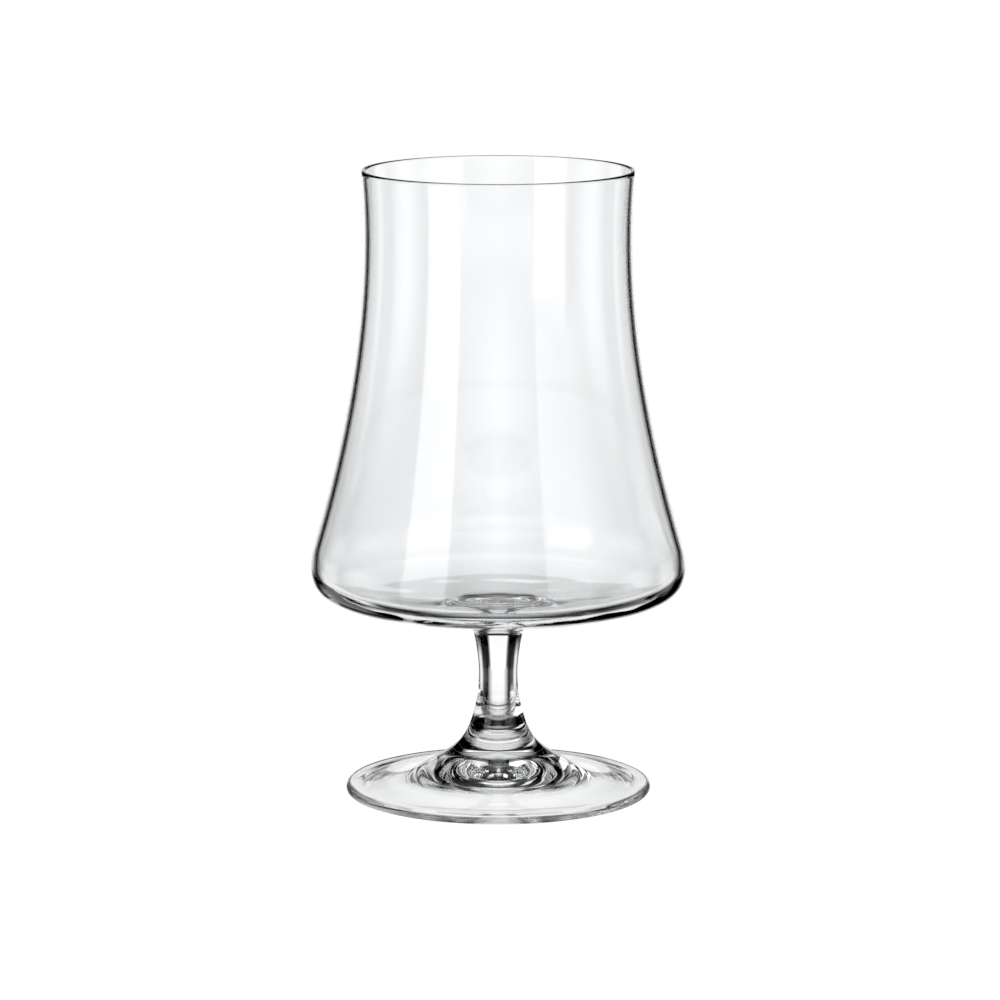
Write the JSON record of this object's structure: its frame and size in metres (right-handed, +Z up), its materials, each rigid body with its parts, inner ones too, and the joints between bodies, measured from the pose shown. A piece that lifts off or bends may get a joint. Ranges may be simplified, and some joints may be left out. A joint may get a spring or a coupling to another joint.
{
  "type": "stemmed beer glass",
  "caption": "Clear stemmed beer glass: a waisted bowl that widens to a low round belly, a short drawn stem and a flared round foot.",
  "frame": {"origin": "centre of the plane that the foot stands on, on the glass's axis", "axes": "+Z up along the glass's axis, from the foot to the rim; the glass is round, so X and Y are free"},
  "size_m": [0.0895, 0.0894, 0.15],
  "materials": {
    "bowl_glass": "clear, blown, fire-polished",
    "stem_glass": "clear, drawn",
    "foot_glass": "clear, pressed, slightly wavy"
  },
  "bodies": {
    "root": {"bowl": "bowl_glass", "stem": "stem_glass", "foot": "foot_glass"}
  },
  "joints": []
}
